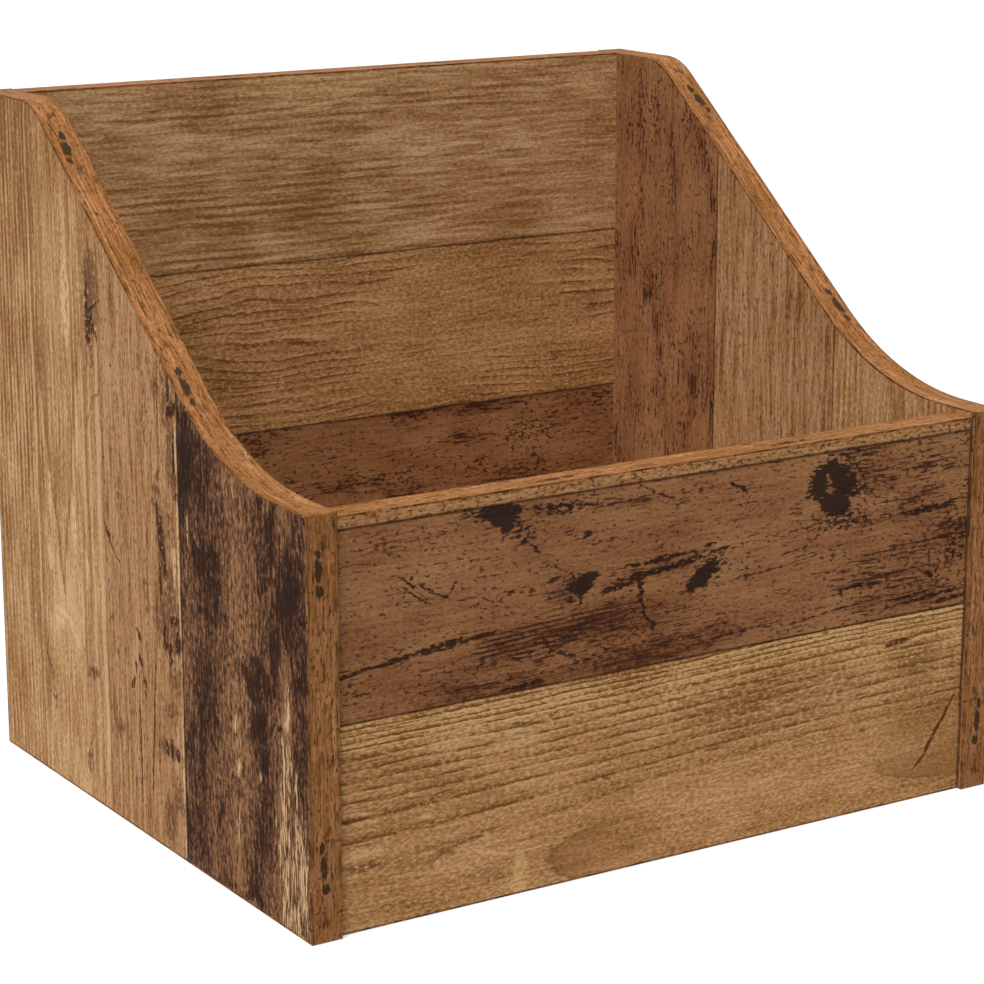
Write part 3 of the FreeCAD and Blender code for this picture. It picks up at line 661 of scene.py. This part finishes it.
LEFT_STAINED_LAYERS = (
    # brown and cream streaks where the dark has worn off
    Layer(((51, 162, 4, 13), (96, 70, 6, 24), (94, 40, 9, 16), (116, 63, 3, 4), (130, 47, 2.4, 6),
           (140, 84, 11, 70), (138, 34, 18, 66), (152, 28, 12, 60), (134, 96, 2, 18), (148, 10, 22, 34),
           (150, 50, 3, 24), (147, 18, 3, 26), (95, 190, 1.6, 9), (114, 184, 1.8, 5), (140, 180, 9, 18),
           (94, 18, 9, 30), (133, 12, 6, 30), (44.5, 40, 1.6, 16), (157, 20, 3, 30), (140, 120, 4, 22)),
          "#98704a", 0.7, 1.5, 0.3, 0.75, False, True),
    Layer(((140, 78, 7.5, 46), (141, 100, 4, 24), (138, 60, 7, 32), (137, 36, 11, 36), (150, 24, 14, 56),
           (96, 68, 5, 18), (94, 80, 2, 12), (116, 63, 3, 5), (130, 47, 2.4, 6), (51, 162, 3, 10),
           (133, 40, 3, 18), (95, 190, 1.6, 10), (148, 60, 3, 30), (138, 12, 8, 30), (95, 34, 2, 18)),
          "#cda87c", 0.92, 1.5, 0.16, 0.78, False, True),
    # black blots
    Layer(((50, 196, 14, 48), (46, 176, 8, 30), (62, 150, 14, 16), (75, 152, 9, 10), (142, 152, 19, 34),
           (140, 138, 13, 20), (122, 150, 13, 9), (129, 175, 7, 24), (120, 185, 7, 9), (130, 122, 9, 34),
           (114, 108, 34, 14), (112, 101, 10, 13), (149, 116, 11, 16), (132, 87, 12, 4), (62, 62, 5, 38),
           (69, 76, 13, 5, 15), (72, 62, 7, 6), (50, 60, 7, 24), (78, 33, 9, 10), (42, 18, 10, 36),
           (110, 5, 18, 10), (116, 85, 16, 14), (120, 70, 9, 14), (156, 120, 8, 24)),
          "#2b1a13", 0.92, 2.2, 0.08, 0.22, True, True),
)


def left_tan_plank(grain, h, v):
    """The rear plank: fine lines at the rear, a pale middle with a pointed loop, darker at the top."""
    rear = 0.18 + 0.82 * rise(h, -98.0, -114.0) * (0.5 + 0.5 * rise(v, 70.0, 190.0))
    middle = rise(h, -104.0, -96.0) * rise(h, -56.0, -66.0)
    foot_h, foot_v = LEFT_VEE_FOOT
    wander = around(noise(grain.place, (14, 40), grain.seed + 50)) * 3.0
    flank = (v - foot_v) * LEFT_VEE_SPREAD + LEFT_VEE_HALF - size_of(h - foot_h + wander)
    high = rise(v, 280.0, 150.0)
    vee = rise(flank, -0.6, 0.8) * high
    groove = bump_line(flank, 0.9, 1.8) * high
    halo = bump_line(flank, -3.0, 4.0) * high
    tone = 0.69 + middle * 0.13 - vee * 0.24 - groove * 0.30 + halo * 0.14 - rise(v, 235.0, 320.0) * 0.34
    tone = tone - rise(h, -62.0, -54.0) * 0.05
    return lay(lined_plank(grain, tone, rear), grain, LEFT_TAN_LAYERS, upright)


def left_stained_plank(grain, h):
    """The front plank, worn along its middle."""
    worn = rise(h, 76.0, 92.0) * rise(h, 118.0, 98.0)
    stained = stained_plank(grain, spots(grain.torn, LEFT_DUSKY), worn)
    return lay(stained, grain, LEFT_STAINED_LAYERS, upright)


def make_upright_face(name, seed, turned):
    """Upright planks: a light tan one at the rear, a weathered one, and a stained one at the front.

    Turned, they stand on their heads and start further along.
    """
    material, shader = new_material(name)
    _, y, v = parts_of(object_place(material))
    h = y * -1.0
    if turned:
        v = SIDE_HEIGHT - v
        h = calc("FLOORED_MODULO", y + TURNED_START, SIDE_HALF * 2.0) - SIDE_HALF
    grain = Grain(h, v, seed, 1.35)
    edge = h + around(noise(grain.place, (50, 26), seed + 51)) * 0.6
    past_first = rise(edge, LEFT_FIRST_JOINT - LEFT_JOINT_BLUR, LEFT_FIRST_JOINT + LEFT_JOINT_BLUR)
    past_second = rise(edge, LEFT_SECOND_JOINT - LEFT_JOINT_BLUR, LEFT_SECOND_JOINT + LEFT_JOINT_BLUR)
    mix = blend(past_first, left_tan_plank(grain, h, v), weathered_plank(grain))
    mix = lay(mix, grain, LEFT_LAYERS, upright)
    mix = blend(past_second, mix, left_stained_plank(grain, h))
    lines = noise(grain.place, (50, 12), seed + 52) * 0.8 + 0.5
    mix = blend(bump_line(edge, LEFT_FIRST_JOINT, 1.2) * lines * 0.7, mix, colour("#6b4529"))
    # Dark line at the second joint, and painted contact shade within 1 mm of the face's front and rear
    # edges, where it meets the edge bands. Turned, the edge line falls inside the face as a butt joint.
    joint_and_edge_shade = highest(bump_line(edge, LEFT_SECOND_JOINT, 1.5), bump_line(size_of(h), SIDE_HALF, 1.0))
    mix = blend(joint_and_edge_shade * lines, mix, colour("#2b1913"))
    finish_board(shader, grain, mix)
    return material


# Decor of the faces that show less: planks side by side, with their joints in millimetres across the grain
PALE_SPACING = 5.2
PLAIN_JOINT_BLUR = 0.3


def random_speckled(grain):
    crowd = rise(noise(grain.place, (20, 60), grain.seed + 41, 3.0), 0.48, 0.72)
    streaky = rise(noise(grain.torn, (16, 70), grain.seed + 42, 3.0), 0.54, 0.74)
    return speckled_plank(grain, crowd, streaky, 0.0)


def random_pale(grain):
    sway = around(noise(grain.place, (45, 130), grain.seed + 43)) * 14.0 + ring_fuzz(grain)
    fade = rise(noise(grain.place, (40, 120), grain.seed + 44), 0.38, 0.56)
    wood, _ = pale_plank(grain, (grain.across + sway) / PALE_SPACING, fade)
    return wood


def random_lined(grain):
    fade = rise(noise(grain.place, (24, 200), grain.seed + 45), 0.40, 0.62) * 0.7
    return lined_plank(grain, 0.62 + grain.cloud * 0.1, fade)


PLANKS = {
    "speckled": random_speckled,
    "pale": random_pale,
    "lined": random_lined,
    "weathered": weathered_plank,
}
AXES = {"x": 0, "y": 1, "z": 2}


def make_plain_face(name, across, along, joints, kinds, seed):
    """Planks of the given kinds, parted by the given joints."""
    material, shader = new_material(name)
    parts = parts_of(object_place(material))
    grain = Grain(parts[AXES[across]], parts[AXES[along]], seed, 1.3)
    edge = grain.across + around(noise(grain.place, (50, 26), seed + 50)) * 0.5
    mix = PLANKS[kinds[0]](grain)
    for joint, kind in zip(joints, kinds[1:]):
        past = rise(edge, joint - PLAIN_JOINT_BLUR, joint + PLAIN_JOINT_BLUR)
        mix = blend(past, mix, PLANKS[kind](grain))
    stains = rise(noise(grain.torn, (9, 17), seed + 51, 4.0, 0.65), 0.66, 0.74)
    mix = blend(stains * rise(grain.ragged, 0.38, 0.58) * 0.7, mix, colour("#4c2f1d"))
    # Dark joint lines. A joint set at the front edge of a side's inner face gives painted shade in the
    # recess there.
    for joint in joints:
        line = bump_line(edge, joint, 1.1) * (0.5 + 0.6 * noise(grain.place, (50, 12), seed + 52))
        mix = blend(line, mix, colour("#33211a"))
    finish_board(shader, grain, mix)
    return material


# Edge band print: lozenges that come again with every turn of the roller, as across, along, width, length
BAND_LOZENGES = ((1.8, 60, 4.2, 10.5), (1.4, 69.5, 3.4, 5.0), (2.2, 52, 2.6, 4.0))
BAND_FAINT_MARKS = ((1.2, 85, 4.4, 6.0), (-1.0, 47, 5.0, 7.0), (-6.0, 40, 2.0, 6.0), (-6.0, 96, 1.6, 8.0),
                    (3.0, 110, 2.4, 5.0), (-3.0, 14, 2.4, 7.0))
SIDE_BAND_MIDDLE = 182.5
CROSS_BAND_MIDDLE = 149.5
BAND_TURN = 131.0
SLOPE_TURN = 150.0
SLOPE_RUN = (0.0, 0.79, 0.613)


def make_band(name, width_axis, middle, run, turn, start):
    """Edge band: reddish streaks along the run, fine dashes, and lozenges once a turn of the print.

    middle is where the band's middle lies on its width axis, and start moves the print along.
    """
    material, shader = new_material(name)
    place = object_place(material)
    across = size_of(parts_of(place)[AXES[width_axis]]) - middle
    steps = parts_of(vector_calc("MULTIPLY", place, run))
    along = steps[0] + steps[1] + steps[2]
    grain = Grain(across, along, 300, 0.9)
    tone = 0.56 + grain.fibre * 0.7 + grain.nap * 0.6 + grain.cloud * 0.4
    wood = palette(tone, "#583515", "#7b4f2a", "#8f5f39", "#9c6a44", "#b07d54")
    olive = rise(noise(place, (6, 6, 6), 304, 3.0, 0.6, "3D"), 0.46, 0.64)
    wood = blend(olive * 0.4, wood, colour("#75501f"))
    sides = rise(size_of(across), 5.6, 7.5) * rise(grain.dash, 0.30, 0.60)
    wood = blend(sides * 0.6, wood, colour("#4a3015"))
    wood = blend(rise(grain.dash + grain.cloud * 0.05, 0.57, 0.63) * 0.75, wood, colour("#432a10"))
    wood = blend(rise(grain.speck + grain.cloud * 0.06, 0.62, 0.69) * 0.8, wood, colour("#38210f"))
    print_across, print_along, _ = parts_of(grain.rough)
    wrapped = point(print_across, calc("FLOORED_MODULO", print_along + start, turn))
    faint = stain(spots(wrapped, BAND_FAINT_MARKS), grain.ragged, 1.2, 0.2) * rise(grain.speck, 0.36, 0.54)
    wood = blend(faint * 0.6, wood, colour("#3b2a1c"))
    dark = stain(spots(wrapped, BAND_LOZENGES), grain.ragged, 1.0, 0.15) * rise(grain.speck, 0.18, 0.36)
    wood = blend(dark * 0.94, wood, colour("#35281a"))
    feed(shader.inputs["Base Color"], wood)
    feed(shader.inputs["Roughness"], grain.nap * 0.1 + BAND_ROUGHNESS)
    shader.inputs["Specular IOR Level"].default_value = BOARD_SHINE
    return material


def make_core():
    """Raw particle board, in the bores and on the hidden edges."""
    material, shader = new_material("board_core")
    place = object_place(material)
    chips = noise(place, (2.6, 2.6, 2.6), 320, 3.0, 0.6, "3D")
    board = palette(chips * 1.6 - 0.3, "#7c5c3a", "#a88357", "#c6a273", "#dcc094")
    feed(shader.inputs["Base Color"], board)
    shader.inputs["Roughness"].default_value = 0.85
    bump(shader, chips, 0.0003)
    return material


def make_metal(name, codes, roughness, seed):
    """Metal with a slightly uneven shine."""
    material, shader = new_material(name)
    place = object_place(material)
    cast = noise(place, (1.2, 1.2, 1.2), seed, 3.0, 0.6, "3D")
    feed(shader.inputs["Base Color"], palette(cast, *codes))
    shader.inputs["Metallic"].default_value = 1.0
    feed(shader.inputs["Roughness"], roughness + around(cast) * 0.15)
    bump(shader, cast, 0.00005)
    return material


def make_beech():
    """Turned dowels with the grain along x."""
    material, shader = new_material("beech")
    place = object_place(material)
    grain = noise(place, (18, 0.7, 0.7), 340, 3.0, 0.6, "3D")
    feed(shader.inputs["Base Color"], palette(grain, "#a67c50", "#c49a6a", "#d8b384"))
    shader.inputs["Roughness"].default_value = 0.7
    bump(shader, grain, 0.0001)
    return material


# How square to an axis and how near to a board's face, in metres, a polygon of that face lies
FACE_SQUARENESS = 0.99
FACE_TOLERANCE = 0.00005


def paint(node, material):
    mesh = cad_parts[node].data
    mesh.materials.clear()
    mesh.materials.append(material)


def paint_faces(node, axis, low, high):
    """Gives a board's two faces across an axis their own materials; its bores and edges stay raw."""
    paint(node, core)
    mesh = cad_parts[node].data
    mesh.materials.append(low)
    mesh.materials.append(high)
    places = [vertex.co[AXES[axis]] for vertex in mesh.vertices]
    for polygon in mesh.polygons:
        if abs(polygon.normal[AXES[axis]]) > FACE_SQUARENESS:
            for slot, plane in enumerate((min(places), max(places)), 1):
                if abs(polygon.center[AXES[axis]] - plane) < FACE_TOLERANCE:
                    polygon.material_index = slot


add_camera()
add_sun()
add_sky()
add_floor()

core = make_core()
paint_faces(
    "front_panel", "y",
    make_lying_face("front_decor", 100, False),
    make_plain_face("front_inner_decor", "z", "x", (62.0, 150.0), ("pale", "speckled", "lined"), 400),
)
paint_faces(
    "back_panel", "y",
    make_plain_face("back_inner_decor", "z", "x", (66.0, 150.0, 238.0),
                    ("weathered", "speckled", "pale", "lined"), 600),
    make_lying_face("back_decor", 500, True),
)
paint_faces(
    "left_side_panel", "x",
    make_upright_face("left_decor", 200, False),
    # The line at -157.4 is painted shade in the corner where the recessed front panel meets this face.
    make_plain_face("left_inner_decor", "y", "z", (-157.4, -74.0, 30.0),
                    ("speckled", "lined", "speckled", "weathered"), 700),
)
paint_faces(
    "right_side_panel", "x",
    # The line at -157.4 is painted shade in the corner where the recessed front panel meets this face.
    make_plain_face("right_inner_decor", "y", "z", (-157.4, -52.0, 48.0),
                    ("speckled", "lined", "weathered", "speckled"), 900),
    make_upright_face("right_decor", 800, True),
)
paint_faces(
    "bottom_panel", "z",
    make_plain_face("bottom_under_decor", "y", "x", (-40.0, 60.0), ("lined", "pale", "weathered"), 1100),
    make_plain_face("bottom_upper_decor", "y", "x", (-56.0, 40.0), ("pale", "weathered", "speckled"), 1000),
)
slope_band = make_band("slope_band", "x", SIDE_BAND_MIDDLE, SLOPE_RUN, SLOPE_TURN, 107.0)
upright_band = make_band("upright_band", "x", SIDE_BAND_MIDDLE, (0.0, 0.0, -1.0), BAND_TURN, 94.0)
foot_band = make_band("foot_band", "x", SIDE_BAND_MIDDLE, (0.0, 1.0, 0.0), BAND_TURN, 0.0)
cross_band = make_band("cross_band", "y", CROSS_BAND_MIDDLE, (1.0, 0.0, 0.0), BAND_TURN, 122.0)
zinc = make_metal("zinc", ("#747472", "#8e8e8b", "#a9a9a6"), 0.45, 330)
steel = make_metal("steel", ("#8f9094", "#a3a4a8", "#b5b6ba"), 0.32, 331)
beech = make_beech()
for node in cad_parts:
    if node.endswith("side_top_band"):
        paint(node, slope_band)
    elif node.endswith(("side_front_band", "side_rear_band")):
        paint(node, upright_band)
    elif node.endswith("side_bottom_band"):
        paint(node, foot_band)
    elif node.endswith("_band"):
        paint(node, cross_band)
    elif node.endswith("_bolts"):
        paint(node, steel)
    elif node.endswith("_dowels"):
        paint(node, beech)
    elif "_cam_" in node:
        paint(node, zinc)

scene.view_settings.view_transform = "Standard"
